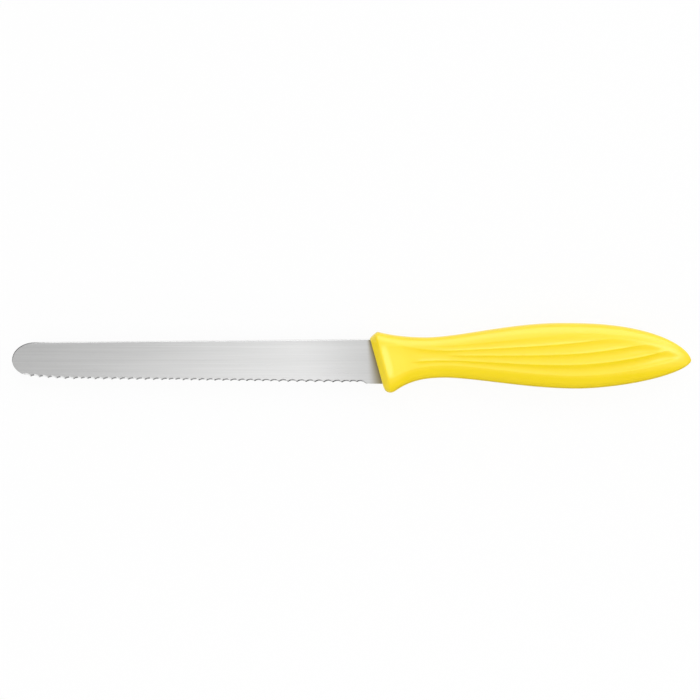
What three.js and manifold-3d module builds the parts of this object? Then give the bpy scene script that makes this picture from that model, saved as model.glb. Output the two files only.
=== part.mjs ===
// A serrated utility knife with a rounded tip. The steel blade is stamped, ground thinner towards the
// edge on both cheeks and serrated from one side. Its tang runs back into a plastic handle with fluted
// sides, which is moulded round it and grips it by pegs through the holes in the tang.
//
// Millimetres. The knife lies on its side: X runs from the tip to the tail of the handle, Y from the
// cutting edge to the spine, and Z up through the thickness. It is modelled about the point where the
// blade's axis meets the front of the handle, and then set down on its origin.
import * as THREE from "three";
import { mergeVertices } from "three/addons/utils/BufferGeometryUtils.js";
import Module from "manifold-3d";

const { clamp, degToRad, lerp, smoothstep } = THREE.MathUtils;

// Steel blade
const bladeLength = 129.7; // tip to handle, on the axis
const stockThickness = 1.2; // sheet that the blank is stamped from, left on at the tang
const spineThickness = 1.1; // after the cheeks are ground
const edgeThickness = 0.38; // at the tooth points, after the cheeks are ground
const grindMargin = 0.3; // unground steel in front of the handle
const runOutSlope = 2; // length over depth where the grinding wheel leaves the cheek
const spineHeight = 7.75; // spine above the axis, at the handle
const edgeDepth = 7.8; // tooth points below the axis, at the handle
const heelDrop = 0.35; // plain heel below the tooth points
const spineTaper = degToRad(0.53); // spine towards the axis
const edgeTaper = degToRad(0.65); // edge towards the axis
const tipHeight = 0.4; // foremost point of the tip, above the axis
const tipLength = 8.3; // length of the curve above that point
const tipDrop = 2.9; // how long the tip keeps heading straight down below it
const tipSweep = 16; // length of the curve under the tip
const tipSweepPull = 12.25; // how long that curve keeps to the line of the edge

// Serration, ground in passes of a ribbed wheel from the upper side
const scallopPitch = 2.96;
const scallopDepth = 0.5; // tooth height, along the edge
const scallopBevel = degToRad(42); // between the ground bevel and the cheek
const seamHeel = 7.1; // places where two passes of the wheel meet, from the handle
const seamMiddle = 71.1;
const seamTip = 102.4;
const seamReach = 1.3; // a scallop this near to a seam
const seamPitch = 2.35; // is followed by a narrower tooth
const heelLength = 6; // handle to the middle of the last scallop
const tipPlain = 5; // tip to the middle of the first scallop, at least
const edgeRise = 1.5; // tooth points bend up by this at the tip
const edgeRiseLength = 24;

// Tang
const tangWidth = 8;
const tangLength = 75; // behind the front of the handle
const tangCorner = 2;
const tangHoleDiameter = 4;
const tangHoleCount = 3;
const tangHolePitch = 20;
const tangHoleSetback = 8; // end of the tang to its last hole
const shoulderCover = 3; // the tang's shoulders lie this far inside the handle, at the heel
const fitGap = 0.3; // between the steel and the plastic moulded round it

// Plastic handle. Heights and depths are above and below the axis, and places are behind the front.
const handleLength = 112.3;
const frontSlant = degToRad(15.5);
const slantRun = 22; // the slant fades out over this length
const faceMarginAbove = 0.3; // front face outside the blade
const faceMarginBelow = 1;
const faceThickness = 9.2;
const collarPlace = 3.6; // crest of the collar
const collarLipAbove = 2.53; // crest outside the blade
const collarLipBelow = 2.86;
const collarThickness = 14.4;
const noseLengthAbove = 3.3; // front face to the end of its bevel
const noseLengthBelow = 4.15;
const noseLengthSide = 2.4;
const neckPlaceAbove = 18.3;
const neckPlaceBelow = 24.8;
const neckPlaceSide = 21.3;
const neckHeight = 8.4;
const neckDepth = 5.97;
const neckThickness = 11.2;
const palmPlaceAbove = 66.3;
const palmPlaceBelow = 72;
const palmPlaceSide = 66.3;
const palmHeight = 13.53;
const palmDepth = 9.87;
const palmThickness = 15;
const tailRise = 0.1; // point of the tail above the axis

// Flutes, counted upwards from the belly. Behind the collar they start as one wide scoop, which the second
// crest parts in two. The next crests then part it into single flutes, and the top flute starts above them.
const fluteCount = 4;
const fluteDepth = 0.62; // below the chord of its crests, at the widest pitch
const beltNeck = 4.4; // plain belly below the lowest crest
const beltPalm = 4.65;
const flutePitchCollar = 4.7;
const flutePitchNeck = 1.75;
const flutePitchTail = 4.3;
const fluteNeckPlace = 25.3; // where the pitch is narrowest
const fluteTailPlace = 92.3; // and where it is widest
const scoopStart = 2.5; // each starts here
const scoopFull = 5.1; // and has its full height or depth here
const lowCrestStart = 11.3;
const lowCrestFull = 17.3;
const midCrestStart = 23.3;
const midCrestFull = 31.3;
const topFluteStart = 16.3;
const topFluteFull = 28.3;
const crownLandNeck = 1.8; // plain strip kept under the top outline
const crownLandPalm = 3.2;
const crownFadeNeck = 2.2; // the flutes run out over this width below it
const crownFadePalm = 4.5;
const crownSpreadStart = 30; // from the neck's strip
const crownSpreadEnd = 60; // to the palm's

// Shape of the curves: powers of the curve's own parameter
const flarePower = 2.27; // neck to collar
const swellPower = 0.835; // neck to palm
const fanPower = 0.75; // spread of the crests, neck to tail
const bevelPower = 1.2; // front to crest, above and at the sides
const bevelEdge = 1;
const roundPower = 2; // front to crest, below: a quarter of an ellipse
const roundEdge = 0.5;
const tailBendAbove = 2.44; // palm to tail: a bend of two and a power of a half make an ellipse
const tailBendBelow = 1.67;
const tailPowerAbove = 0.606;
const tailPowerBelow = 0.613;
const collarPower = 3.6; // section: two is an ellipse, more is squarer
const neckPower = 2.6;
const palmPower = 3;
const neckPowerPlace = 12; // the neck's section starts here
const crestShareTop = 0.85; // towards the tail the crests keep below these shares of the depth
const crestShareStep = 0.055;

// Fineness of the facets
const noseSteps = 9;
const bodySteps = 40;
const bodySpacing = 1.25; // steps close up towards the collar
const tailSteps = 10;
const tailRun = 22; // length with closing steps
const bellySteps = 5;
const fluteSteps = 4;
const crownSteps = 6;
const arcSteps = 20;
const wheelSides = 72;
const holeSides = 24;
const overshoot = 1; // cutting bodies reach this far past what they cut

const heelDepth = edgeDepth + heelDrop;
const shoulderPlace = heelDepth * Math.tan(frontSlant) + shoulderCover;
const tangMiddle = (neckHeight - neckDepth) / 2;

const wasm = await Module();
wasm.setup();

function solidOf(geometry) {
  const bare = geometry.clone();
  bare.deleteAttribute("normal");
  bare.deleteAttribute("uv");
  const merged = mergeVertices(bare);
  return new wasm.Manifold(new wasm.Mesh({
    numProp: 3,
    vertProperties: new Float32Array(merged.getAttribute("position").array),
    triVerts: new Uint32Array(merged.index.array),
  }));
}

function geometryOf(solid) {
  const { vertProperties, triVerts } = solid.getMesh();
  const geometry = new THREE.BufferGeometry();
  geometry.setAttribute("position", new THREE.BufferAttribute(vertProperties, 3));
  geometry.setIndex(new THREE.BufferAttribute(triVerts, 1));
  geometry.computeVertexNormals();
  return geometry;
}

// Outlines of the blade
const spineAt = (x) => spineHeight + x * Math.tan(spineTaper);
const blankEdgeAt = (x) => -heelDepth - x * Math.tan(edgeTaper);

function toothPointAt(x) {
  const bend = Math.max(0, 1 - (bladeLength + x) / edgeRiseLength);
  return -edgeDepth - x * Math.tan(edgeTaper) + edgeRise * bend ** 2;
}

// Half of the ground blade's thickness at a height.
function cheekAt(y) {
  const share = (y + edgeDepth) / (spineHeight + edgeDepth);
  return lerp(edgeThickness, spineThickness, share) / 2;
}

// Side view of blade and tang, grown outwards by a gap where the handle's slot is made from it.
function blankShape(grow) {
  const shoulder = shoulderPlace + grow;
  const tangEnd = tangLength + grow;
  const tangTop = tangMiddle + tangWidth / 2 + grow;
  const tangBottom = tangMiddle - tangWidth / 2 - grow;
  const noseX = tipLength - bladeLength;
  const noseRise = spineAt(noseX) - tipHeight;
  const sweepEnd = tipSweep - bladeLength;
  const shape = new THREE.Shape();
  shape.moveTo(shoulder, tangTop);
  shape.lineTo(shoulder, spineAt(shoulderPlace) + grow);
  shape.lineTo(noseX, spineAt(noseX) + grow);
  shape.absellipse(noseX, tipHeight, tipLength + grow, noseRise + grow, Math.PI / 2, Math.PI, false, 0);
  shape.bezierCurveTo(
    -bladeLength - grow, tipHeight - tipDrop,
    sweepEnd - tipSweepPull, blankEdgeAt(sweepEnd - tipSweepPull) - grow,
    sweepEnd, blankEdgeAt(sweepEnd) - grow,
  );
  shape.lineTo(shoulder, blankEdgeAt(shoulderPlace) - grow);
  shape.lineTo(shoulder, tangBottom);
  shape.absarc(tangEnd - tangCorner, tangBottom + tangCorner, tangCorner, -Math.PI / 2, 0, false);
  shape.absarc(tangEnd - tangCorner, tangTop - tangCorner, tangCorner, 0, Math.PI / 2, false);
  return shape;
}

// The stamped blank with its tang.
function blankSolid(grow) {
  const depth = stockThickness + 2 * grow;
  const options = { depth, bevelEnabled: false, curveSegments: arcSteps };
  const geometry = new THREE.ExtrudeGeometry(blankShape(grow), options);
  geometry.translate(0, 0, -depth / 2);
  return solidOf(geometry);
}

// What the grinder takes off one cheek: a wedge along the blade that opens towards the edge and runs out
// along the slanted front of the handle.
function grindWedge(side) {
  const top = spineHeight + overshoot;
  const bottom = -heelDepth - overshoot;
  const stock = stockThickness / 2;
  const section = new THREE.Shape([
    new THREE.Vector2(top, side * cheekAt(top)),
    new THREE.Vector2(top, side * (stock + overshoot)),
    new THREE.Vector2(bottom, side * (stock + overshoot)),
    new THREE.Vector2(bottom, side * cheekAt(bottom)),
  ]);
  const depth = bladeLength + tipLength;
  const geometry = new THREE.ExtrudeGeometry(section, { depth, bevelEnabled: false });
  const alongBlade = new THREE.Matrix4().makeBasis(
    new THREE.Vector3(-Math.tan(frontSlant), 1, 0),
    new THREE.Vector3(side * runOutSlope, 0, 1),
    new THREE.Vector3(1, 0, 0),
  );
  geometry.applyMatrix4(alongBlade);
  geometry.translate(-depth - grindMargin - stock * runOutSlope, 0, 0);
  return solidOf(geometry);
}

// Middles of the scallops, from the heel to the tip.
function scallopPlaces() {
  const seams = [seamHeel, seamMiddle, seamTip];
  const places = [];
  let x = -heelLength;
  while (x > tipPlain - bladeLength) {
    places.push(x);
    const onSeam = Math.min(...seams.map((seam) => Math.abs(x + seam))) < seamReach;
    x -= onSeam ? seamPitch : scallopPitch;
  }
  return places;
}

// One rib of the grinding wheel. Its nearest line lies along the bevel, which starts at the edge on the
// lower cheek and climbs to the upper one.
function wheelRib(x) {
  const sagitta = scallopDepth * Math.sin(scallopBevel);
  const radius = (sagitta ** 2 + (scallopPitch / 2) ** 2) / (2 * sagitta);
  const length = 2 * (stockThickness / Math.sin(scallopBevel) + overshoot);
  const y = toothPointAt(x) + scallopDepth;
  const geometry = new THREE.CylinderGeometry(radius, radius, length, wheelSides);
  geometry.rotateX(scallopBevel);
  geometry.translate(
    x,
    y - radius * Math.sin(scallopBevel),
    radius * Math.cos(scallopBevel) - cheekAt(y),
  );
  return solidOf(geometry);
}

// A round bar through the tang at each of its holes.
function tangBars(diameter, length) {
  const bars = [];
  for (let i = 0; i < tangHoleCount; i++) {
    const geometry = new THREE.CylinderGeometry(diameter / 2, diameter / 2, length, holeSides);
    geometry.rotateX(Math.PI / 2);
    geometry.translate(tangLength - tangHoleSetback - i * tangHolePitch, tangMiddle, 0);
    bars.push(solidOf(geometry));
  }
  return bars;
}

function bladeSolid() {
  let solid = blankSolid(0).subtract(grindWedge(1)).subtract(grindWedge(-1));
  for (const x of scallopPlaces()) {
    solid = solid.subtract(wheelRib(x));
  }
  for (const bar of tangBars(tangHoleDiameter, stockThickness + 2 * overshoot)) {
    solid = solid.subtract(bar);
  }
  return solid;
}

// Outline of the handle from collar to neck to palm to tail: one curve for each side of it.
function handleCurve(s, side) {
  if (s < side.neckPlace) {
    const share = (side.neckPlace - s) / (side.neckPlace - collarPlace);
    return side.neck + (side.collar - side.neck) * share ** flarePower;
  }
  if (s < side.palmPlace) {
    const share = (s - side.neckPlace) / (side.palmPlace - side.neckPlace);
    return side.neck + (side.palm - side.neck) * smoothstep(share ** swellPower, 0, 1);
  }
  const share = Math.min(1, (s - side.palmPlace) / (handleLength - side.palmPlace));
  return side.tail + (side.palm - side.tail) * (1 - share ** side.tailBend) ** side.tailPower;
}

// The same curve, drawn in between the crest of the collar and the front face.
function handleOutline(s, side) {
  const inset = handleCurve(0, side) - side.face;
  const ahead = Math.max(0, 1 - s / side.noseLength);
  return handleCurve(s, side) - inset * (1 - (1 - ahead ** side.nosePower) ** side.noseEdge);
}

const above = {
  face: spineHeight + faceMarginAbove,
  collar: spineHeight + collarLipAbove,
  neck: neckHeight,
  palm: palmHeight,
  tail: tailRise,
  neckPlace: neckPlaceAbove,
  palmPlace: palmPlaceAbove,
  tailBend: tailBendAbove,
  tailPower: tailPowerAbove,
  noseLength: noseLengthAbove,
  nosePower: bevelPower,
  noseEdge: bevelEdge,
};
const below = {
  face: heelDepth + faceMarginBelow,
  collar: heelDepth + collarLipBelow,
  neck: neckDepth,
  palm: palmDepth,
  tail: -tailRise,
  neckPlace: neckPlaceBelow,
  palmPlace: palmPlaceBelow,
  tailBend: tailBendBelow,
  tailPower: tailPowerBelow,
  noseLength: noseLengthBelow,
  nosePower: roundPower,
  noseEdge: roundEdge,
};
const beside = {
  face: faceThickness / 2,
  collar: collarThickness / 2,
  neck: neckThickness / 2,
  palm: palmThickness / 2,
  tail: 0,
  neckPlace: neckPlaceSide,
  palmPlace: palmPlaceSide,
  tailBend: tailBendAbove,
  tailPower: tailPowerAbove,
  noseLength: noseLengthSide,
  nosePower: bevelPower,
  noseEdge: bevelEdge,
};

// How far the crests have spread between the neck and the tail.
function fanShare(s) {
  const share = clamp((s - fluteNeckPlace) / (fluteTailPlace - fluteNeckPlace), 0, 1);
  return smoothstep(share ** fanPower, 0, 1);
}

// Distance from crest to crest. The flutes fan out from the neck, both to the collar and to the tail.
function flutePitchAt(s) {
  if (s < fluteNeckPlace) {
    const share = (fluteNeckPlace - s) / (fluteNeckPlace - collarPlace);
    return lerp(flutePitchNeck, flutePitchCollar, share ** flarePower);
  }
  return lerp(flutePitchNeck, flutePitchTail, fanShare(s));
}

// Heights of the five crests, the lowest first.
function crestHeights(s, bottom, top) {
  const belt = lerp(beltNeck, beltPalm, fanShare(s));
  const heights = [];
  for (let i = 0; i <= fluteCount; i++) {
    const limit = crestShareTop - (fluteCount - i) * crestShareStep;
    heights.push(bottom + Math.min(belt + i * flutePitchAt(s), limit * (top - bottom)));
  }
  return heights;
}

// How far a scoop between two crests lies inside the plain section: it is hollowed below their chord.
function scoopAt(y, low, high, plainAt) {
  const width = high - low;
  const share = (y - low) / width;
  const hollow = fluteDepth * Math.min(width / flutePitchTail, flutePitchTail / width);
  return plainAt(y) - lerp(plainAt(low), plainAt(high), share) + 4 * share * (1 - share) * hollow;
}

// How deep the side lies inside the plain section at a height between the lowest crest and the highest.
function fluteBed(s, y, crests, plainAt) {
  const [first, second] = crests;
  const [last, top] = crests.slice(-2);
  if (y > last) {
    return scoopAt(y, last, top, plainAt) * smoothstep(s, topFluteStart, topFluteFull);
  }
  const upper = crests.findIndex((crest) => y <= crest);
  const whole = scoopAt(y, first, last, plainAt);
  const inTwo = y <= second ? scoopAt(y, first, second, plainAt) : scoopAt(y, second, last, plainAt);
  const single = scoopAt(y, crests[upper - 1], crests[upper], plainAt);
  const early = lerp(whole, inTwo, smoothstep(s, lowCrestStart, lowCrestFull));
  const bed = lerp(early, single, smoothstep(s, midCrestStart, midCrestFull));
  return bed * smoothstep(s, scoopStart, scoopFull);
}

// Heights of a ring's points on one side, from the belly up to the top.
function ringHeights(bottom, top, crests) {
  const heights = [];
  for (let i = 0; i < bellySteps; i++) {
    heights.push(lerp(bottom, crests[0], 1 - Math.cos(i / bellySteps * Math.PI / 2)));
  }
  for (let flute = 0; flute + 1 < crests.length; flute++) {
    for (let i = 0; i < fluteSteps; i++) {
      heights.push(lerp(crests[flute], crests[flute + 1], i / fluteSteps));
    }
  }
  for (let i = 0; i <= crownSteps; i++) {
    heights.push(lerp(crests.at(-1), top, Math.sin(i / crownSteps * Math.PI / 2)));
  }
  return heights;
}

function sectionPowerAt(s) {
  const front = lerp(collarPower, neckPower, smoothstep(s, collarPlace, neckPowerPlace));
  return lerp(front, palmPower, smoothstep(s, fluteNeckPlace, palmPlaceSide));
}

// One cross-section of the handle: both sides of a rounded, fluted oval, leaning with the front face.
function handleRing(s) {
  const top = handleOutline(s, above);
  const bottom = -handleOutline(s, below);
  const half = handleOutline(s, beside);
  const power = sectionPowerAt(s);
  const lean = Math.tan(frontSlant) * (1 - smoothstep(s, 0, slantRun));
  const spread = smoothstep(s, crownSpreadStart, crownSpreadEnd);
  const land = lerp(crownLandNeck, crownLandPalm, spread);
  const fade = lerp(crownFadeNeck, crownFadePalm, spread);
  const crests = crestHeights(s, bottom, top);
  const plainAt = (y) => {
    const across = Math.min(1, Math.abs(2 * (y - bottom) / (top - bottom) - 1));
    return half * (1 - across ** power) ** (1 / power);
  };
  const side = ringHeights(bottom, top, crests).map((y) => {
    const fluted = y > crests[0] && y < crests.at(-1);
    const bed = fluted ? fluteBed(s, y, crests, plainAt) * smoothstep(top - y, land, land + fade) : 0;
    return new THREE.Vector3(s - lean * y, y, plainAt(y) - bed);
  });
  const inner = side.slice(1, -1).reverse();
  return [...side, ...inner.map((p) => new THREE.Vector3(p.x, p.y, -p.z))];
}

function handleStations() {
  const bodyEnd = handleLength - tailRun;
  const stations = [];
  for (let i = 0; i < noseSteps; i++) {
    stations.push(collarPlace * (i / noseSteps) ** 2);
  }
  for (let i = 0; i < bodySteps; i++) {
    stations.push(lerp(collarPlace, bodyEnd, (i / bodySteps) ** bodySpacing));
  }
  for (let i = 0; i < tailSteps; i++) {
    stations.push(bodyEnd + tailRun * Math.sin(i / tailSteps * Math.PI / 2));
  }
  return stations;
}

// Skin over the rings, closed by a fan at the front and at the point of the tail.
function loft(rings, front, tail) {
  const count = rings[0].length;
  const points = [...rings.flat(), front, tail];
  const frontIndex = points.length - 2;
  const tailIndex = points.length - 1;
  const lastRing = (rings.length - 1) * count;
  const index = [];
  for (let j = 0; j < count; j++) {
    const next = (j + 1) % count;
    index.push(frontIndex, j, next);
    for (let i = 0; i < lastRing; i += count) {
      index.push(i + j, i + count + next, i + next);
      index.push(i + j, i + count + j, i + count + next);
    }
    index.push(tailIndex, lastRing + next, lastRing + j);
  }
  const geometry = new THREE.BufferGeometry().setFromPoints(points);
  geometry.setIndex(index);
  return geometry;
}

function handleSolid() {
  const rings = handleStations().map(handleRing);
  const front = new THREE.Vector3(0, 0, 0);
  const tail = new THREE.Vector3(handleLength, tailRise, 0);
  let slot = blankSolid(fitGap);
  const pegLength = stockThickness + 2 * (fitGap + overshoot);
  for (const peg of tangBars(tangHoleDiameter - 2 * fitGap, pegLength)) {
    slot = slot.subtract(peg);
  }
  return solidOf(loft(rings, front, tail)).subtract(slot);
}

function piece(name, solid, material) {
  const mesh = new THREE.Mesh(geometryOf(solid), new THREE.MeshStandardMaterial(material));
  mesh.name = name;
  return mesh;
}

const knife = new THREE.Group();
knife.add(piece("blade", bladeSolid(), { color: 0xc9c9c8, roughness: 0.32, metalness: 1 }));
knife.add(piece("handle", handleSolid(), { color: 0xfbe44c, roughness: 0.38, metalness: 0 }));

const box = new THREE.Box3().setFromObject(knife);
const middle = box.getCenter(new THREE.Vector3());
knife.position.set(-middle.x, -middle.y, -box.min.z);

export default knife;
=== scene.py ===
import math
import bpy
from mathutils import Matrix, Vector


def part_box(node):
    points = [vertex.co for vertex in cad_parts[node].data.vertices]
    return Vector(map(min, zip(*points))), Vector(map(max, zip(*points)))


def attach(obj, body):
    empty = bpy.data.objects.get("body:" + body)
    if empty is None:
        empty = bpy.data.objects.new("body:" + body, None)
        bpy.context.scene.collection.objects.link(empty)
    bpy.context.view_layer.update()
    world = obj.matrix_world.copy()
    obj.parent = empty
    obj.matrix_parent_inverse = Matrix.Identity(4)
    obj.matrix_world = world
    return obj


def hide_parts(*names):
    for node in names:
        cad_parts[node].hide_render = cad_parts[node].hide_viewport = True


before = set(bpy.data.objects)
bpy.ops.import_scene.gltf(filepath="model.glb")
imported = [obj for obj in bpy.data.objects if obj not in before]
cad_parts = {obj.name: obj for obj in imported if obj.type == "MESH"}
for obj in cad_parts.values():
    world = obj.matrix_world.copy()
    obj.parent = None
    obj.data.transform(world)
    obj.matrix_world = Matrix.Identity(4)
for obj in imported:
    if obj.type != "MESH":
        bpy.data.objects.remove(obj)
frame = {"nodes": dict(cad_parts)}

scene = bpy.context.scene
scene.view_settings.view_transform = "Standard"
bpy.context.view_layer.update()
print("frame loaded:", ", ".join(frame["nodes"]))

mm = 0.001
bladeLength = 129.7  # tip to handle, in millimetres like all the sizes in the dictionaries
palmHeight = 13.53  # top of the palm above the blade's axis
weldDistance = 0.004  # points closer than this become one

# Everything is drawn about the point where the blade's axis meets the front of the handle.
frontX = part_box("blade")[0].x + bladeLength * mm
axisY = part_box("handle")[1].y - palmHeight * mm
middleZ = (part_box("handle")[0].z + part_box("handle")[1].z) / 2


def mix(a, b, share):
    return a + (b - a) * share


def smoothstep(value, low, high):
    share = min(1, max(0, (value - low) / (high - low)))
    return share * share * (3 - 2 * share)


def knifePoint(x, y, z):
    return Vector((frontX + x * mm, axisY + y * mm, z * mm))


# Selecting and editing

def selectOnly(obj):
    if bpy.context.mode != "OBJECT":
        bpy.ops.object.mode_set(mode="OBJECT")
    bpy.ops.object.select_all(action="DESELECT")
    if obj:
        obj.select_set(True)
        bpy.context.view_layer.objects.active = obj


def startEdit(obj, kind):
    selectOnly(obj)
    bpy.ops.object.mode_set(mode="EDIT")
    bpy.ops.mesh.select_mode(type=kind)
    bpy.ops.mesh.select_all(action="DESELECT")


def editWhere(obj, kind, wanted):
    startEdit(obj, kind)
    bpy.ops.object.mode_set(mode="OBJECT")
    mesh = obj.data
    for part in {"VERT": mesh.vertices, "EDGE": mesh.edges, "FACE": mesh.polygons}[kind]:
        part.select = wanted(part)
    bpy.ops.object.mode_set(mode="EDIT")


def endEdit():
    bpy.ops.object.mode_set(mode="OBJECT")


def closeMesh(obj):
    startEdit(obj, "VERT")
    bpy.ops.mesh.select_all(action="SELECT")
    bpy.ops.mesh.remove_doubles(threshold=weldDistance * mm)
    bpy.ops.mesh.normals_make_consistent(inside=False)
    endEdit()


def applyModifier(obj, kind, **settings):
    selectOnly(obj)
    modifier = obj.modifiers.new(kind.title(), kind)
    for name, value in settings.items():
        setattr(modifier, name, value)
    bpy.ops.object.modifier_apply(modifier=modifier.name)


def cutAway(obj, tool):
    applyModifier(obj, "BOOLEAN", operation="DIFFERENCE", solver="EXACT", object=tool)
    bpy.data.objects.remove(tool)


def gridOf(name, columns, rows):
    selectOnly(None)
    bpy.ops.mesh.primitive_grid_add(x_subdivisions=columns - 1, y_subdivisions=rows - 1, size=1)
    bpy.context.object.name = name
    return bpy.context.object


def gridPlace(point, columns, rows):
    return round((point.x + 0.5) * (columns - 1)), round((point.y + 0.5) * (rows - 1))


# Blade with its tang: one stamped blank, ground on both cheeks and serrated from the upper side

blade = {
    "spineThickness": 1.1,
    "edgeThickness": 0.38,
    "spineHeight": 7.75,
    "edgeDepth": 7.8,
    "heelDrop": 0.35,  # plain heel below the tooth points
    "spineTaper": math.radians(0.53),
    "edgeTaper": math.radians(0.65),
    "tipHeight": 0.4,  # foremost point above the axis
    "tipLength": 8.3,  # of the curve above it
    "tipDrop": 3.55,  # pull of the curve below it, at the tip
    "tipSweep": 16,  # length of that curve
    "tipSweepPull": 12.5,  # and its pull at the edge
    "deburr": 0.36,  # rounding of the spine and of the tip
    "deburrSteps": 5,
    "deburrEnd": 1,  # inside the handle
    "levelSlack": 0.05,  # an edge rising less than this runs along the blade
    "lineSlack": 0.01,  # and one this close to the upper line is on the spine
    "tipInset": 0.075,  # left for the rounding
    "tipSteps": 44,
    "tipHalvings": 40,  # of the search along that curve
    "smoothAngle": math.radians(24),
    "flatNormal": 0.999,  # faces flatter than this aren't smoothed
}

serration = {
    "pitch": 2.96,  # sets the wheel's radius
    "depth": 0.5,
    "bevel": math.radians(42),
    # Start of each pass from the handle, and its spacing
    "passes": ((0, 2.5), (10, 3.2), (36, 2.84), (68, 2.35), (73.5, 2.97), (101, 2.3), (105.5, 3.1)),
    "heelLength": 5.6,
    "tipPlain": 4.6,
    "edgeRise": 1.5,
    "edgeRiseLength": 24,
    "runOut": 2.4,  # reach of a scallop that has no neighbour
    "steps": 7,  # stations from the middle of a scallop to its tooth
}

tang = {
    "width": 8,
    "length": 75,
    "corner": 2,
    "cornerSteps": 8,
    "middle": 1.215,
    "shoulder": 5.26,
    "shoulderSlope": 0.1,
    "hole": 4,
    "holePlaces": (67, 47, 27),
    "holeSides": 48,
    "holeCut": 4,  # length of the bar that cuts a hole
    "gap": 0.06,  # steel to plastic
    "slotLead": 6,  # the slot's tool starts this far in front of the handle
}

heelDepth = blade["edgeDepth"] + blade["heelDrop"]
wheelSag = serration["depth"] * math.sin(serration["bevel"])
wheelRadius = (wheelSag ** 2 + (serration["pitch"] / 2) ** 2) / (2 * wheelSag)


def spineAt(x):
    return blade["spineHeight"] + x * math.tan(blade["spineTaper"])


def blankEdgeAt(x):
    return -heelDepth - x * math.tan(blade["edgeTaper"])


def toothPointAt(x):
    bend = max(0, 1 - (bladeLength + x) / serration["edgeRiseLength"])
    return -blade["edgeDepth"] - x * math.tan(blade["edgeTaper"]) + serration["edgeRise"] * bend ** 2


def cheekAt(y):
    share = (y + blade["edgeDepth"]) / (blade["spineHeight"] + blade["edgeDepth"])
    return mix(blade["edgeThickness"], blade["spineThickness"], share) / 2


def tipSweepAt(x):
    noseY = blade["tipHeight"]
    endX = blade["tipSweep"] - bladeLength
    pullX = endX - blade["tipSweepPull"]
    xs = (-bladeLength, -bladeLength, pullX, endX)
    ys = (noseY, noseY - blade["tipDrop"], blankEdgeAt(pullX), blankEdgeAt(endX))

    def along(four, t):
        a, b, c, d = four
        return a * (1 - t) ** 3 + 3 * b * t * (1 - t) ** 2 + 3 * c * t * t * (1 - t) + d * t ** 3

    low, high = 0, 1
    for _ in range(blade["tipHalvings"]):
        t = (low + high) / 2
        low, high = (t, high) if along(xs, t) < x else (low, t)
    return along(ys, t)


# The wheel made the teeth in passes of unlike spacing, with narrow teeth where two passes meet.
def scallopPlaces():
    places = []
    x = -serration["heelLength"]
    while x > serration["tipPlain"] - bladeLength:
        places.append(x)
        x -= [spacing for start, spacing in serration["passes"] if start < -x][-1]
    return places


scallops = scallopPlaces()


# Height of the ground edge on the lower cheek, or None where no wheel has been.
def scallopAt(x):
    grounds = []
    for middle in scallops:
        away = abs(x - middle)
        if away < serration["runOut"]:
            arc = 1 - math.sqrt(1 - (away / wheelRadius) ** 2)
            fall = wheelRadius / math.sin(serration["bevel"]) * arc
            grounds.append(toothPointAt(middle) + serration["depth"] - fall)
    return max(grounds, default=None)


def tangCorner():
    start = tang["length"] - tang["corner"]
    steps = tang["cornerSteps"]
    return [start + tang["corner"] * math.sin(i / steps * math.pi / 2) for i in range(steps + 1)]


# Upper and lower line of the blank at a place along it: tip, blade, shoulders and tang.
def blankLines(x):
    top = spineAt(x)
    noseX = blade["tipLength"] - bladeLength
    if x < noseX:
        away = (noseX - x) / blade["tipLength"]
        top = mix(blade["tipHeight"], spineAt(noseX), math.sqrt(max(0, 1 - away ** 2)))
    bottom = tipSweepAt(x) if x < blade["tipSweep"] - bladeLength else blankEdgeAt(x)
    if x > tang["shoulder"]:
        past = max(0, x - tang["length"] + tang["corner"])
        half = tang["width"] / 2 - tang["corner"] + math.sqrt(max(0, tang["corner"] ** 2 - past ** 2))
        top, bottom = tang["middle"] + half, tang["middle"] - half
    return top, bottom


def bladeStations():
    stations = []
    end = scallops[-1] - serration["runOut"]
    for i in range(blade["tipSteps"]):
        stations.append(mix(blade["tipInset"] - bladeLength, end, (i / blade["tipSteps"]) ** 2))
    stops = [end]
    for near, far in zip(scallops[::-1], scallops[-2::-1]):
        stops += [near, (near + far) / 2]
    stops += [scallops[0], scallops[0] + serration["runOut"]]
    for a, b in zip(stops, stops[1:]):
        stations += [mix(a, b, i / serration["steps"]) for i in range(serration["steps"])]
    stations += [stops[-1], 0, tang["shoulder"], tang["shoulder"] + tang["shoulderSlope"]]
    return stations + tangCorner()


def makeBlade():
    stations = bladeStations()
    obj = gridOf("serrated_blade", len(stations), 2)
    startEdit(obj, "FACE")
    bpy.ops.mesh.select_all(action="SELECT")
    bpy.ops.mesh.extrude_region_move(TRANSFORM_OT_translate={"value": (0, 0, -1)})
    endEdit()
    for vertex in obj.data.vertices:
        column, row = gridPlace(vertex.co, len(stations), 2)
        x = stations[column]
        top, bottom = blankLines(x)
        upper = vertex.co.z > -0.5
        y = top if row == 1 else bottom
        ground = scallopAt(x)
        if row == 0 and ground is not None:
            y = max(bottom, ground)
            if upper:
                y = max(bottom, ground + 2 * cheekAt(y) / math.tan(serration["bevel"]))
            y = min(y, top)
        vertex.co = knifePoint(x, y, cheekAt(y) if upper else -cheekAt(y))
    closeMesh(obj)
    return obj


def roundSpine(obj):
    def onSpine(edge):
        a, b = (obj.data.vertices[i].co for i in edge.vertices)
        if abs(a.z - b.z) > blade["levelSlack"] * mm:
            return False
        for point in (a, b):
            x = (point.x - frontX) / mm
            line = blankLines(max(x, -bladeLength))[0] - blade["lineSlack"]
            if x > blade["deburrEnd"] or (point.y - axisY) / mm < line:
                return False
        return True

    editWhere(obj, "EDGE", onSpine)
    bpy.ops.mesh.bevel(offset=blade["deburr"] * mm, segments=blade["deburrSteps"],
                       affect="EDGES", profile=0.5)
    endEdit()


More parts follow.
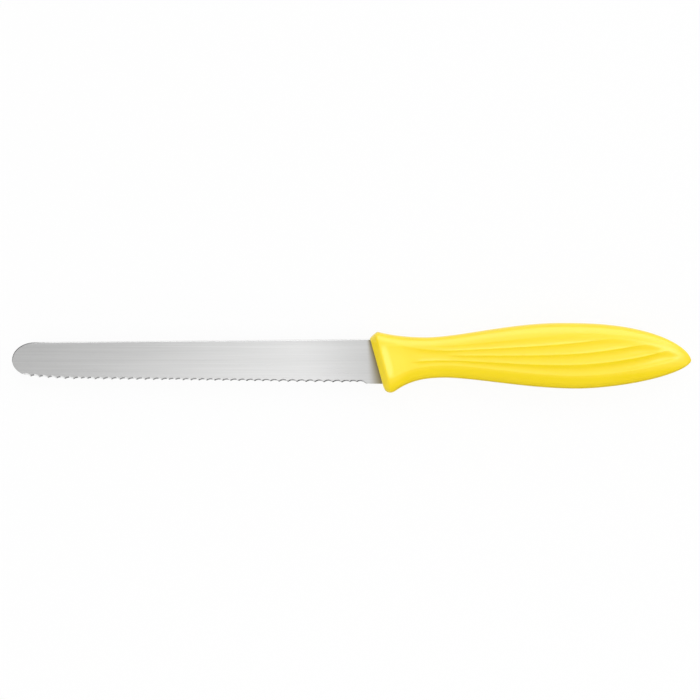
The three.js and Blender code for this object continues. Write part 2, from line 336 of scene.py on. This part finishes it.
def tangHoleBar(place, diameter):
    selectOnly(None)
    bpy.ops.mesh.primitive_cylinder_add(vertices=tang["holeSides"], radius=diameter / 2 * mm,
                                        depth=tang["holeCut"] * mm,
                                        location=knifePoint(place, tang["middle"], 0))
    bpy.ops.object.transform_apply(location=True, rotation=True, scale=True)
    return bpy.context.object


def liftToMiddle(obj):
    startEdit(obj, "VERT")
    bpy.ops.mesh.select_all(action="SELECT")
    bpy.ops.transform.translate(value=(0, 0, middleZ))
    endEdit()


bladePiece = makeBlade()
roundSpine(bladePiece)
for place in tang["holePlaces"]:
    cutAway(bladePiece, tangHoleBar(place, tang["hole"]))
liftToMiddle(bladePiece)
selectOnly(bladePiece)
bpy.ops.object.shade_smooth_by_angle(angle=blade["smoothAngle"])
editWhere(bladePiece, "FACE", lambda face: abs(face.normal.z) > blade["flatNormal"])
bpy.ops.mesh.faces_shade_flat()
endEdit()
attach(bladePiece, "root")
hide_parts("blade")
print("blade:", len(bladePiece.data.polygons), "faces,", len(scallops), "scallops")


# Moulded handle: collar, narrow neck, palm and pointed tail, with flutes down both sides

handle = {
    "length": 112.3,
    "frontSlant": math.radians(15.5),
    "slantRun": 22,
    "faceMarginAbove": 0.3,
    "faceMarginBelow": 1,
    "faceThickness": 9.2,
    "collarPlace": 3.6,
    "collarLipAbove": 2.53,
    "collarLipBelow": 2.85,
    "collarThickness": 14.4,
    "noseLengthAbove": 3.3,
    "noseLengthBelow": 4.15,
    "noseLengthSide": 2.4,
    "neckPlaceAbove": 18.3,
    "neckPlaceBelow": 24.8,
    "neckPlaceSide": 21.3,
    "neckHeight": 8.4,
    "neckDepth": 5.97,
    "neckThickness": 11.2,
    "palmPlaceAbove": 66.3,
    "palmPlaceBelow": 72,
    "palmPlaceSide": 66.3,
    "palmDepth": 9.87,
    "palmThickness": 15,
    "tailRise": 0.1,
    "flarePower": 2.27,
    "swellPower": 0.835,
    "bevelPower": 1.2,
    "roundPower": 2,
    "roundEdge": 0.5,
    "tailBendAbove": 2.44,
    "tailBendBelow": 1.67,
    "tailPowerAbove": 0.606,
    "tailPowerBelow": 0.613,
    "collarPower": 3.6,
    "neckPower": 2.6,
    "palmPower": 3,
    "neckFrom": 12,  # the neck's section is reached here
    "frontRounding": 0.2,
    "frontRoundingSteps": 3,
    "noseSteps": 14,
    "bodySteps": 130,
    "tailSteps": 28,
    "tailRun": 22,
    "smoothAngle": math.radians(40),
}

flutes = {
    "count": 4,
    "depth": 0.62,
    "beltNeck": 4.4,  # plain belly below the lowest crest
    "beltPalm": 4.65,
    "pitchCollar": 4.7,
    "pitchNeck": 1.75,
    "pitchTail": 4.3,
    "neckPlace": 25.3,
    "tailPlace": 92.3,
    "fanPower": 0.75,
    "scoop": (2.5, 5.1),  # behind the collar all the flutes are one wide scoop
    "lowCrest": (11.3, 17.3),  # the second crest parts it
    "midCrest": (23.3, 31.3),  # then the third
    "topFlute": (16.3, 28.3),
    "crownSpread": (30, 60),
    "crownLandNeck": 1.8,
    "crownLandPalm": 3.2,
    "crownFadeNeck": 2.2,
    "crownFadePalm": 4.5,
    "crestTop": 0.85,
    "crestStep": 0.055,
    "crestSoftness": 0.055,
    "bellySteps": 10,
    "fluteSteps": 14,
    "crownSteps": 16,
}

above = {
    "face": blade["spineHeight"] + handle["faceMarginAbove"],
    "collar": blade["spineHeight"] + handle["collarLipAbove"],
    "neck": handle["neckHeight"],
    "palm": palmHeight,
    "tail": handle["tailRise"],
    "neckPlace": handle["neckPlaceAbove"],
    "palmPlace": handle["palmPlaceAbove"],
    "tailBend": handle["tailBendAbove"],
    "tailPower": handle["tailPowerAbove"],
    "noseLength": handle["noseLengthAbove"],
    "nosePower": handle["bevelPower"],
    "noseEdge": 1,
}
below = {
    "face": heelDepth + handle["faceMarginBelow"],
    "collar": heelDepth + handle["collarLipBelow"],
    "neck": handle["neckDepth"],
    "palm": handle["palmDepth"],
    "tail": -handle["tailRise"],
    "neckPlace": handle["neckPlaceBelow"],
    "palmPlace": handle["palmPlaceBelow"],
    "tailBend": handle["tailBendBelow"],
    "tailPower": handle["tailPowerBelow"],
    "noseLength": handle["noseLengthBelow"],
    "nosePower": handle["roundPower"],
    "noseEdge": handle["roundEdge"],
}
beside = {
    "face": handle["faceThickness"] / 2,
    "collar": handle["collarThickness"] / 2,
    "neck": handle["neckThickness"] / 2,
    "palm": handle["palmThickness"] / 2,
    "tail": 0,
    "neckPlace": handle["neckPlaceSide"],
    "palmPlace": handle["palmPlaceSide"],
    "tailBend": handle["tailBendAbove"],
    "tailPower": handle["tailPowerAbove"],
    "noseLength": handle["noseLengthSide"],
    "nosePower": handle["bevelPower"],
    "noseEdge": 1,
}


def handleCurve(s, side):
    if s < side["neckPlace"]:
        share = (side["neckPlace"] - s) / (side["neckPlace"] - handle["collarPlace"])
        return mix(side["neck"], side["collar"], share ** handle["flarePower"])
    if s < side["palmPlace"]:
        share = (s - side["neckPlace"]) / (side["palmPlace"] - side["neckPlace"])
        return mix(side["neck"], side["palm"], smoothstep(share ** handle["swellPower"], 0, 1))
    share = min(1, (s - side["palmPlace"]) / (handle["length"] - side["palmPlace"]))
    return mix(side["tail"], side["palm"], (1 - share ** side["tailBend"]) ** side["tailPower"])


def handleOutline(s, side):
    inset = handleCurve(0, side) - side["face"]
    ahead = max(0, 1 - s / side["noseLength"])
    return handleCurve(s, side) - inset * (1 - (1 - ahead ** side["nosePower"]) ** side["noseEdge"])


def fanShare(s):
    share = max(0, min(1, (s - flutes["neckPlace"]) / (flutes["tailPlace"] - flutes["neckPlace"])))
    return smoothstep(share ** flutes["fanPower"], 0, 1)


def flutePitchAt(s):
    if s < flutes["neckPlace"]:
        share = (flutes["neckPlace"] - s) / (flutes["neckPlace"] - handle["collarPlace"])
        return mix(flutes["pitchNeck"], flutes["pitchCollar"], share ** handle["flarePower"])
    return mix(flutes["pitchNeck"], flutes["pitchTail"], fanShare(s))


def crestHeights(s, bottom, depth):
    belt = mix(flutes["beltNeck"], flutes["beltPalm"], fanShare(s))
    heights = []
    for i in range(flutes["count"] + 1):
        limit = flutes["crestTop"] - (flutes["count"] - i) * flutes["crestStep"]
        heights.append(bottom + min(belt + i * flutePitchAt(s), limit * depth))
    return heights


# How far a scoop between two crests lies inside the plain section. It is hollowed below the chord.
def scoopAt(y, low, high, plain):
    width = max(high - low, 0.001)
    share = min(1, max(0, (y - low) / width))
    hollow = flutes["depth"] * min(width / flutes["pitchTail"], flutes["pitchTail"] / width)
    return plain(y) - mix(plain(low), plain(high), share) + 4 * share * (1 - share) * hollow


# The crests part one wide scoop, one after the other.
def fluteBed(s, y, crests, plain):
    first, second, third, fourth, top = crests
    if y > fourth:
        return scoopAt(y, fourth, top, plain) * smoothstep(s, *flutes["topFlute"])
    whole = scoopAt(y, first, fourth, plain)
    parted = scoopAt(y, first, second, plain) if y < second else scoopAt(y, second, fourth, plain)
    fine = parted
    if y > second:
        fine = scoopAt(y, second, third, plain) if y < third else scoopAt(y, third, fourth, plain)
    coarse = mix(whole, parted, smoothstep(s, *flutes["lowCrest"]))
    return mix(coarse, fine, smoothstep(s, *flutes["midCrest"])) * smoothstep(s, *flutes["scoop"])


# Heights from the belly up to the top, closer together at the crests.
def sectionHeights(bottom, top, crests):
    heights = []
    for i in range(flutes["bellySteps"]):
        heights.append(mix(bottom, crests[0], 1 - math.cos(i / flutes["bellySteps"] * math.pi / 2)))
    for low, high in zip(crests, crests[1:]):
        for i in range(flutes["fluteSteps"]):
            heights.append(mix(low, high, 0.5 - 0.5 * math.cos(i / flutes["fluteSteps"] * math.pi)))
    for i in range(flutes["crownSteps"] + 1):
        heights.append(mix(crests[-1], top, math.sin(i / flutes["crownSteps"] * math.pi / 2)))
    return heights


def handleSection(s):
    top = handleOutline(s, above)
    bottom = -handleOutline(s, below)
    half = handleOutline(s, beside)
    lean = math.tan(handle["frontSlant"]) * (1 - smoothstep(s, 0, handle["slantRun"]))
    toNeck = smoothstep(s, handle["collarPlace"], handle["neckFrom"])
    toPalm = smoothstep(s, flutes["neckPlace"], handle["palmPlaceSide"])
    power = mix(mix(handle["collarPower"], handle["neckPower"], toNeck), handle["palmPower"], toPalm)
    crests = crestHeights(s, bottom, top - bottom)
    spread = smoothstep(s, *flutes["crownSpread"])
    land = mix(flutes["crownLandNeck"], flutes["crownLandPalm"], spread)
    fade = mix(flutes["crownFadeNeck"], flutes["crownFadePalm"], spread)
    soft = flutes["crestSoftness"]

    def plain(y):
        across = min(1, abs(2 * (y - bottom) / max(top - bottom, 0.001) - 1))
        return half * (1 - across ** power) ** (1 / power)

    points = []
    for y in sectionHeights(bottom, top, crests):
        bed = 0
        if crests[0] < y < crests[-1]:
            bed = fluteBed(s, y, crests, plain) * smoothstep(top - y, land, land + fade)
        points.append(knifePoint(s - lean * y, y, max(0, plain(y) - math.hypot(bed, soft) + soft)))
    return points


def handleStations():
    bodyEnd = handle["length"] - handle["tailRun"]
    stations = [handle["collarPlace"] * i / handle["noseSteps"] for i in range(handle["noseSteps"])]
    for i in range(handle["bodySteps"]):
        stations.append(mix(handle["collarPlace"], bodyEnd, i / handle["bodySteps"]))
    for i in range(handle["tailSteps"] + 1):
        stations.append(bodyEnd + handle["tailRun"] * math.sin(i / handle["tailSteps"] * math.pi / 2))
    return stations


def makeHandle():
    sections = [handleSection(s) for s in handleStations()]
    columns, rows = len(sections), len(sections[0])
    obj = gridOf("moulded_handle", columns, rows)
    for vertex in obj.data.vertices:
        column, row = gridPlace(vertex.co, columns, rows)
        vertex.co = sections[column][row]
        if row in (0, rows - 1):
            vertex.co.z = 0
    applyModifier(obj, "MIRROR", use_axis=(False, False, True), merge_threshold=weldDistance / 2 * mm)
    closeMesh(obj)
    return obj


# The open front is closed by one flat face, and its rim is broken by a small radius.
def closeFront(obj):
    startEdit(obj, "EDGE")
    bpy.ops.mesh.select_non_manifold()
    bpy.ops.mesh.edge_face_add()
    bpy.ops.mesh.bevel(offset=handle["frontRounding"] * mm, segments=handle["frontRoundingSteps"],
                       affect="EDGES", profile=0.5)
    endEdit()
    closeMesh(obj)


# Room for the root of the blade and the tang, with the pegs that fill the tang's holes left standing.
def slotTool():
    grow = tang["gap"]
    shoulder = tang["shoulder"] + grow
    stations = [-tang["slotLead"], 0, shoulder, shoulder + tang["shoulderSlope"]]
    stations += [x + grow for x in tangCorner()]
    obj = gridOf("slot_tool", len(stations), 2)
    startEdit(obj, "FACE")
    bpy.ops.mesh.select_all(action="SELECT")
    bpy.ops.mesh.extrude_region_move(TRANSFORM_OT_translate={"value": (0, 0, -1)})
    endEdit()
    for vertex in obj.data.vertices:
        column, row = gridPlace(vertex.co, len(stations), 2)
        top, bottom = blankLines(stations[column] - (grow if column > 1 else 0))
        y = top if row == 1 else bottom
        z = cheekAt(y) + grow
        if vertex.co.z < -0.5:
            z = -z
        vertex.co = knifePoint(stations[column], y + grow if row == 1 else y - grow, z)
    closeMesh(obj)
    for place in tang["holePlaces"]:
        cutAway(obj, tangHoleBar(place, tang["hole"] - 2 * grow))
    return obj


handlePiece = makeHandle()
closeFront(handlePiece)
cutAway(handlePiece, slotTool())
liftToMiddle(handlePiece)
selectOnly(handlePiece)
bpy.ops.object.shade_smooth_by_angle(angle=handle["smoothAngle"])
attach(handlePiece, "root")
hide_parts("handle")
print("handle:", len(handlePiece.data.polygons), "faces")


# Materials

noiseRoughness = 0.55


class Value:
    def __init__(self, tree, socket):
        self.tree = tree
        self.socket = socket

    def maths(self, operation, first, second):
        node = self.tree.nodes.new("ShaderNodeMath")
        node.operation = operation
        for slot, item in zip(node.inputs, (first, second)):
            if isinstance(item, Value):
                self.tree.links.new(item.socket, slot)
            else:
                slot.default_value = item
        return Value(self.tree, node.outputs[0])

    def __add__(self, other):
        return self.maths("ADD", self, other)

    def __radd__(self, other):
        return self.maths("ADD", other, self)

    def __sub__(self, other):
        return self.maths("SUBTRACT", self, other)

    def __rsub__(self, other):
        return self.maths("SUBTRACT", other, self)

    def __mul__(self, other):
        return self.maths("MULTIPLY", self, other)

    def __truediv__(self, other):
        return self.maths("DIVIDE", self, other)

    def __abs__(self):
        return self.maths("ABSOLUTE", self, 0)

    def above(self, other):
        return self.maths("MAXIMUM", self, other)

    def below(self, other):
        return self.maths("MINIMUM", self, other)


class Finish:
    def __init__(self, tree):
        self.tree = tree
        tree.nodes.clear()

    def add(self, kind, settings, sockets, out=0):
        node = self.tree.nodes.new("ShaderNode" + kind)
        for name, value in settings.items():
            setattr(node, name, value)
        for name, value in sockets.items():
            if isinstance(value, Value):
                self.tree.links.new(value.socket, node.inputs[name])
            else:
                node.inputs[name].default_value = value
        return Value(self.tree, node.outputs[out]) if node.outputs else node

    def place(self, scale=(1, 1, 1)):
        spot = self.add("TexCoord", {}, {}, "Object")
        return self.add("Mapping", {}, {"Vector": spot, "Scale": scale})

    def noise(self, scale, detail=2.0):
        sockets = {"Vector": self.place(scale), "Scale": 1.0, "Detail": detail}
        return self.add("TexNoise", {}, {**sockets, "Roughness": noiseRoughness})

    def spread(self, noise, contrast):
        return (noise - 0.5) * contrast + 0.5

    def along(self, axis):
        return self.add("SeparateXYZ", {}, {"Vector": self.place()}, axis)

    def ease(self, value, start, end):
        sockets = {"Value": value, "From Min": start, "From Max": end}
        return self.add("MapRange", {"interpolation_type": "SMOOTHSTEP"}, sockets)

    def tint(self, share, a, b):
        a, b = (colour if isinstance(colour, Value) else (*colour, 1) for colour in (a, b))
        return self.add("Mix", {"data_type": "RGBA"}, {0: share, 6: a, 7: b}, 2)

    def bump(self, height, distance, strength=1.0):
        return self.add("Bump", {}, {"Height": height, "Distance": distance, "Strength": strength})

    def surface(self, **sockets):
        named = {name.replace("_", " "): value for name, value in sockets.items()}
        shader = self.add("BsdfPrincipled", {}, named)
        self.add("OutputMaterial", {}, {"Surface": shader})


def newFinish(name):
    material = bpy.data.materials.new(name)
    material.use_nodes = True
    return material, Finish(material.node_tree)


steel = {
    "dark": (0.405, 0.405, 0.403),
    "light": (0.508, 0.508, 0.506),
    "jointShadeAndReflection": (0.165, 0.142, 0.083),  # painted shade and painted reflection of the yellow handle on the steel in front of it
    "jointShadeReach": 3.2,  # on the axis
    "jointShadeSpread": 0.24,  # for each millimetre towards the edge
    "heelShade": 0.78,  # painted shade, darker towards the handle
    "heelReach": 28,
    "paintedEdgeLight": 0.02,  # painted light, brighter towards the edge
    "roughness": 0.3,
    "fine": (16, 6200, 300),  # brush marks per metre, along and across the blade
    "coarse": (34, 2300, 300),
    "broad": (5, 420, 100),
    "brushMix": (0.45, 0.35, 0.2),
    "brushContrast": 2.2,
    "roughnessSpread": 0.12,
    "bumpMix": (0.6, 0.4),
    "bumpStrength": 0.6,
    "brushDepth": 0.0012,
    "leastNormal": 0.985,  # flatter faces are cheeks
}


def brushedCheek():
    material, finish = newFinish("brushed_cheek")
    fine = finish.noise(steel["fine"])
    coarse = finish.noise(steel["coarse"], 3)
    broad = finish.noise(steel["broad"])
    fineShare, coarseShare, broadShare = steel["brushMix"]
    brush = fine * fineShare + coarse * coarseShare + broad * broadShare
    drop = (axisY - finish.along("Y")) / mm  # below the axis
    # Painted light: the brush tone is lifted towards the edge.
    brushAndEdgeLight = finish.spread(brush, steel["brushContrast"]) + drop * steel["paintedEdgeLight"]
    share = brushAndEdgeLight.above(0).below(1)
    slant = handle["frontSlant"]
    # Painted shade and painted reflection of the yellow handle: near the handle's front the steel fades
    # to a dark brownish tint, over a reach that widens towards the edge.
    ahead = (frontX - finish.along("X")) * (math.cos(slant) / mm) + drop * math.sin(slant)
    reach = drop * steel["jointShadeSpread"] + steel["jointShadeReach"]
    ground = finish.ease(ahead / reach, 0, 1)
    brushed = finish.tint(share, steel["dark"], steel["light"])
    # Painted shade: the brushed steel is darkened towards the handle, easing out over the heel reach.
    shaded = {tone: [level * steel["heelShade"] for level in steel[tone]] for tone in ("dark", "light")}
    dull = finish.tint(share, shaded["dark"], shaded["light"])
    brushed = finish.tint(finish.ease(ahead, 0, steel["heelReach"]), dull, brushed)
    fineBump, coarseBump = steel["bumpMix"]
    bristles = fine * fineBump + coarse * coarseBump
    finish.surface(
        Base_Color=finish.tint(ground, steel["jointShadeAndReflection"], brushed),
        Metallic=1.0,
        Roughness=steel["roughness"] + (coarse - 0.5) * steel["roughnessSpread"],
        Normal=finish.bump(bristles, steel["brushDepth"] * mm, steel["bumpStrength"]),
    )
    return material


# Painted light: the bevel steel is coloured much brighter than the cheek steel, standing in for the
# light the bevels catch.
bevelSteel = {
    "dark": (0.76, 0.76, 0.76),
    "light": (0.88, 0.88, 0.878),
    "roughness": 0.14,
    "wheelMarks": (4200, 60, 60),
    "contrast": 2,
    "roughnessSpread": 0.15,
    "markDepth": 0.001,
    "bumpStrength": 0.5,
    "leastNormal": 0.3,  # flatter faces near the edge are bevels
    "belowAxis": 3,  # bevels lie lower than this
}


def groundBevel():
    material, finish = newFinish("ground_bevel")
    marks = finish.noise(bevelSteel["wheelMarks"], 3)
    share = finish.spread(marks, bevelSteel["contrast"]).above(0).below(1)
    finish.surface(
        Base_Color=finish.tint(share, bevelSteel["dark"], bevelSteel["light"]),
        Metallic=1.0,
        Roughness=bevelSteel["roughness"] + (marks - 0.5) * bevelSteel["roughnessSpread"],
        Normal=finish.bump(marks, bevelSteel["markDepth"] * mm, bevelSteel["bumpStrength"]),
    )
    return material


# Painted shade: near the tip the edge faces are coloured near black, and from a few millimetres back
# they have the plain edge tone.
stampedSteel = {
    "dark": (0.09, 0.09, 0.089),
    "light": (0.14, 0.14, 0.139),
    "spine": (0.4, 0.4, 0.398),  # tone of the edge faces behind the painted shade at the tip
    "spineFrom": 4,  # from the tip
    "spineTo": 15,
    "roughness": 0.36,
    "tumble": (900, 900, 2600),
    "contrast": 2,
    "roughnessSpread": 0.2,
    "tumbleDepth": 0.002,
    "bumpStrength": 0.5,
}


def stampedEdge():
    material, finish = newFinish("stamped_edge")
    tumble = finish.noise(stampedSteel["tumble"], 3)
    share = finish.spread(tumble, stampedSteel["contrast"]).above(0).below(1)
    fromTip = (finish.along("X") - frontX) / mm + bladeLength
    # Painted shade: the edge faces darken towards the tip.
    pastTipShade = finish.ease(fromTip, stampedSteel["spineFrom"], stampedSteel["spineTo"])
    tipShade = finish.tint(share, stampedSteel["dark"], stampedSteel["light"])
    finish.surface(
        Base_Color=finish.tint(pastTipShade, tipShade, stampedSteel["spine"]),
        Metallic=1.0,
        Roughness=stampedSteel["roughness"] + (tumble - 0.5) * stampedSteel["roughnessSpread"],
        Normal=finish.bump(tumble, stampedSteel["tumbleDepth"] * mm, stampedSteel["bumpStrength"]),
    )
    return material


plastic = {
    "deep": (0.96, 0.72, 0.006),
    "pale": (0.98, 0.745, 0.009),
    "roughness": 0.3,
    "ior": 1.47,
    "mottle": (55, 90, 90),
    "mottleContrast": 1.8,
    "mottleRoughness": 0.1,
    "grain": (5200, 5200, 5200),
    "grainContrast": 0.4,
    "grainRoughness": 0.08,
    "grainDepth": 0.0016,
    "seamWidth": 0.07,
    "seamHeight": 0.012,
}


def mouldedPlastic():
    material, finish = newFinish("moulded_plastic")
    mottle = finish.noise(plastic["mottle"], 3)
    grain = finish.noise(plastic["grain"], 2)
    speckle = (grain - 0.5) * plastic["grainContrast"]
    share = (finish.spread(mottle, plastic["mottleContrast"]) + speckle).above(0).below(1)
    seam = (1 - abs(finish.along("Z") - middleZ) / (plastic["seamWidth"] * mm)).above(0)
    height = grain * (plastic["grainDepth"] * mm) + seam * (plastic["seamHeight"] * mm)
    dull = (mottle - 0.5) * plastic["mottleRoughness"] + (grain - 0.5) * plastic["grainRoughness"]
    finish.surface(
        Base_Color=finish.tint(share, plastic["deep"], plastic["pale"]),
        Roughness=plastic["roughness"] + dull,
        IOR=plastic["ior"],
        Normal=finish.bump(height, 1.0),
    )
    return material


def dress(obj, materials, pick):
    obj.data.materials.clear()
    for material in materials:
        obj.data.materials.append(material)
    for index in range(1, len(materials)):
        editWhere(obj, "FACE", lambda face: pick(face) == index)
        obj.active_material_index = index
        bpy.ops.object.material_slot_assign()
        endEdit()


def steelFace(face):
    if abs(face.normal.z) > steel["leastNormal"]:
        return 0
    onEdge = face.center.y < axisY - bevelSteel["belowAxis"] * mm and face.center.x < frontX
    return 1 if face.normal.z > bevelSteel["leastNormal"] and onEdge else 2


dress(bladePiece, [brushedCheek(), groundBevel(), stampedEdge()], steelFace)
dress(handlePiece, [mouldedPlastic()], lambda face: 0)
print("materials:", ", ".join(material.name for material in bpy.data.materials))


# Studio: pale floor, white surround, soft light from overhead and from both long sides

studio = {
    "floorSize": 8,
    "floorColour": (0.9, 0.9, 0.9),
    "floorGlow": 0.93,  # the rest shows the shadow
    "roomLight": 1.09,
    "cameraPlace": (-0.0006, 0.00277),
    "sensorWidth": 36,
    "lens": 100,
    "fieldWidth": 0.2495,
    "lampAim": (0, 0, 0.008),
}

# Place, size, level, and whether it is for reflections (gloss), for the rest (fill) or for all
softboxes = {
    "key_softbox": ((0.05, 0.62, 0.85), (0.4, 0.6), 1.3, "all"),
    "edge_fill": ((0.01, -0.28, 0.12), (0.4, 0.15), 1.4, "fill"),
    "back_gloss": ((0.25, 1.0, 0.42), (1.8, 0.84), 2.8, "gloss"),
    "tail_gloss": ((0.7, 0.2, 0.7), (0.5, 0.5), 4.5, "gloss"),
    "palm_gloss": ((0.3, 0.15, 1.0), (0.52, 0.7), 1.0, "gloss"),
    "top_gloss": ((-0.037, -0.02, 0.26), (0.045, 0.2), 1.0, "gloss"),
}

# Grey cards: place, size, turn, shade. Those on the floor only show in reflections.
flat = (0, 0, 0)
upright = (math.pi / 2, 0, 0)
cards = {
    "belly_card": ((0.155, -0.2, 0.0003), (0.29, 0.4), flat, 0.03),
    "edge_card": ((-0.03, -0.157, 0.0004), (0.1, 0.286), flat, 0.45),
    "tip_teeth_card": ((-0.05, -0.3, 0.03), (0.2, 0.06), upright, 0.35),
    "teeth_card": ((0.275, -0.3, 0.03), (0.45, 0.06), upright, 0.15),
    "wall_card": ((0.1, -0.3, 0.21), (0.8, 0.3), upright, 0.22),
    "tip_card": ((-0.42, 0.27, 0.5), (0.6, 1), (math.pi / 2, 0, math.pi / 2), 0.45),
}


def backgroundRays(finish):
    camera = finish.add("LightPath", {}, {}, "Is Camera Ray")
    glossy = finish.add("LightPath", {}, {}, "Is Glossy Ray")
    through = finish.add("LightPath", {}, {}, "Is Transmission Ray")
    return camera.above(glossy).above(through)


def makeFloor():
    selectOnly(None)
    bpy.ops.mesh.primitive_plane_add(size=studio["floorSize"])
    floor = bpy.context.object
    floor.name = "floor"
    material, finish = newFinish("pale_floor")
    matt = finish.add("BsdfDiffuse", {}, {"Color": (*studio["floorColour"], 1)})
    white = finish.add("Emission", {}, {"Color": (1, 1, 1, 1), "Strength": 1.0})
    share = backgroundRays(finish) * studio["floorGlow"]
    blend = finish.add("MixShader", {}, {0: share, 1: matt, 2: white})
    finish.add("OutputMaterial", {}, {"Surface": blend})
    floor.data.materials.append(material)


def makeCard(name, place, size, turn, shade):
    selectOnly(None)
    bpy.ops.mesh.primitive_plane_add(size=1, location=place, rotation=turn)
    card = bpy.context.object
    card.name = name
    card.scale = (*size, 1)
    for ray in ("camera", "transmission", "volume_scatter"):
        setattr(card, "visible_" + ray, False)
    if turn == flat:
        card.visible_diffuse = False
        card.visible_shadow = False
    material, finish = newFinish(name)
    matt = finish.add("BsdfDiffuse", {}, {"Color": (shade, shade, shade, 1)})
    finish.add("OutputMaterial", {}, {"Surface": matt})
    card.data.materials.append(material)


def makeSoftbox(name, place, size, level, shows):
    selectOnly(None)
    aim = (Vector(studio["lampAim"]) - Vector(place)).to_track_quat("-Z", "Y").to_euler()
    bpy.ops.object.light_add(type="AREA", location=place, rotation=aim)
    lamp = bpy.context.object
    lamp.name = name
    lamp.data.shape = "RECTANGLE"
    lamp.data.size, lamp.data.size_y = size
    lamp.data.energy = level * math.pi * size[0] * size[1]
    lamp.visible_camera = False
    lamp.visible_diffuse = shows != "gloss"
    lamp.visible_glossy = shows != "fill"


def makeWorld():
    world = bpy.data.worlds.new("white_room")
    world.use_nodes = True
    scene.world = world
    finish = Finish(world.node_tree)
    room = finish.add("Background", {}, {"Color": (1, 1, 1, 1), "Strength": studio["roomLight"]})
    white = finish.add("Background", {}, {"Color": (1, 1, 1, 1), "Strength": 1.0})
    blend = finish.add("MixShader", {}, {0: backgroundRays(finish), 1: room, 2: white})
    finish.add("OutputWorld", {}, {"Surface": blend})


def makeCamera():
    selectOnly(None)
    lens = bpy.data.cameras.new("camera")
    lens.sensor_width = studio["sensorWidth"]
    lens.lens = studio["lens"]
    height = middleZ + studio["fieldWidth"] * lens.lens / lens.sensor_width
    bpy.ops.object.camera_add(location=(*studio["cameraPlace"], height), rotation=(0, 0, 0))
    bpy.context.object.data = lens
    scene.camera = bpy.context.object


makeFloor()
for name, settings in cards.items():
    makeCard(name, *settings)
for name, settings in softboxes.items():
    makeSoftbox(name, *settings)
makeWorld()
makeCamera()
selectOnly(None)
print("studio set")
